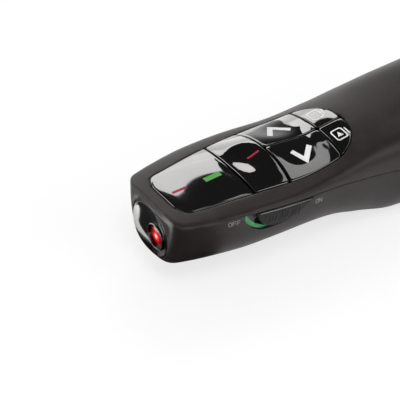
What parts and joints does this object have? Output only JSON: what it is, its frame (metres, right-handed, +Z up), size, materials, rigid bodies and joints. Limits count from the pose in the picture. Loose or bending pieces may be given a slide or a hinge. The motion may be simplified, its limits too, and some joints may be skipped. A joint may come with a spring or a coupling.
{
  "type": "wireless presentation clicker",
  "caption": "Handheld wireless presentation clicker: narrow laser nose, glossy key panel, ON/OFF side slider, waisted body widening to a rounded grip, USB receiver in the tail.",
  "frame": {"origin": "centre of the overall box in plan, at the height of the flat underside", "axes": "+X from the laser nose to the tail, +Y to the far side (the power slider is on the -Y side), +Z up out of the keys"},
  "size_m": [0.1156, 0.0378, 0.0274],
  "materials": {
    "soft_black_plastic": "fine satin texture, warm dark grey",
    "gloss_black_plastic": "polished",
    "black_plastic": "satin",
    "satin_metal_ring": "turned",
    "brass": "turned",
    "red_lens": "clear red",
    "tinned_metal": "tinned sheet",
    "green_board": "solder mask",
    "green_light_guide": "clear green",
    "green_print": "printed",
    "ceramic": "ceramic",
    "steel_screws": "zinc plated",
    "cell_jacket": "printed film",
    "white_plastic": "satin",
    "gold_contacts": "plated"
  },
  "bodies": {
    "casing": {"upper_shell": "soft_black_plastic", "lower_shell": "soft_black_plastic", "nose_window": "gloss_black_plastic", "aperture_ring": "satin_metal_ring", "laser_barrel": "brass", "laser_lens": "red_lens", "laser_diode": "brass", "laser_leads": "tinned_metal", "laser_driver_board": "green_board", "status_window": "gloss_black_plastic", "light_guide": "green_light_guide", "status_led": "green_light_guide", "tact_switch_cases": "tinned_metal", "on_indicator": "green_print", "slide_switch_case": "tinned_metal", "main_board": "green_board", "controller_chip": "black_plastic", "radio_chip": "black_plastic", "crystal": "tinned_metal", "board_capacitors": "ceramic", "board_screws": "steel_screws", "case_screws": "steel_screws", "battery_springs": "tinned_metal", "battery_contacts": "tinned_metal", "aaa_cell_far": "cell_jacket", "aaa_cell_near": "cell_jacket", "receiver_cradle": "black_plastic"},
    "battery_door": {"battery_door": "soft_black_plastic"},
    "laser_key": {"laser_button": "gloss_black_plastic", "laser_plunger": "black_plastic"},
    "next_key": {"next_button": "gloss_black_plastic", "next_plunger": "black_plastic"},
    "previous_key": {"previous_button": "gloss_black_plastic", "previous_plunger": "black_plastic"},
    "blank_screen_key": {"blank_screen_button": "gloss_black_plastic", "blank_screen_plunger": "black_plastic"},
    "slideshow_key": {"slideshow_button": "gloss_black_plastic", "slideshow_plunger": "black_plastic"},
    "slider": {"power_slider": "black_plastic", "slide_switch_lever": "black_plastic"},
    "receiver": {"receiver_case": "soft_black_plastic", "receiver_plug_shell": "tinned_metal", "receiver_tongue": "white_plastic", "receiver_contacts": "gold_contacts"}
  },
  "joints": [
    {"name": "laser_key_press", "type": "slide", "parent": "casing", "child": "laser_key", "axis": [0, 0, -1], "range_m": [0, 0.0005], "stiffness_N_per_m": 2000},
    {"name": "next_key_press", "type": "slide", "parent": "casing", "child": "next_key", "axis": [0, 0, -1], "range_m": [0, 0.0005], "stiffness_N_per_m": 2000},
    {"name": "previous_key_press", "type": "slide", "parent": "casing", "child": "previous_key", "axis": [0, 0, -1], "range_m": [0, 0.0005], "stiffness_N_per_m": 2000},
    {"name": "blank_screen_key_press", "type": "slide", "parent": "casing", "child": "blank_screen_key", "axis": [0, 0, -1], "range_m": [0, 0.0005], "stiffness_N_per_m": 2000},
    {"name": "slideshow_key_press", "type": "slide", "parent": "casing", "child": "slideshow_key", "axis": [0, 0, -1], "range_m": [0, 0.0005], "stiffness_N_per_m": 2000},
    {"name": "power_slide", "type": "slide", "parent": "casing", "child": "slider", "axis": [-1, 0, 0], "range_m": [0, 0.0032]},
    {"name": "door_swing", "type": "hinge", "parent": "casing", "child": "battery_door", "pos_m": [-0.00755, 0, 0.003], "axis": [0, 1, 0], "range_deg": [0, 35]},
    {"name": "receiver_pull", "type": "slide", "parent": "casing", "child": "receiver", "axis": [1, 0, 0], "range_m": [0, 0.055]}
  ]
}
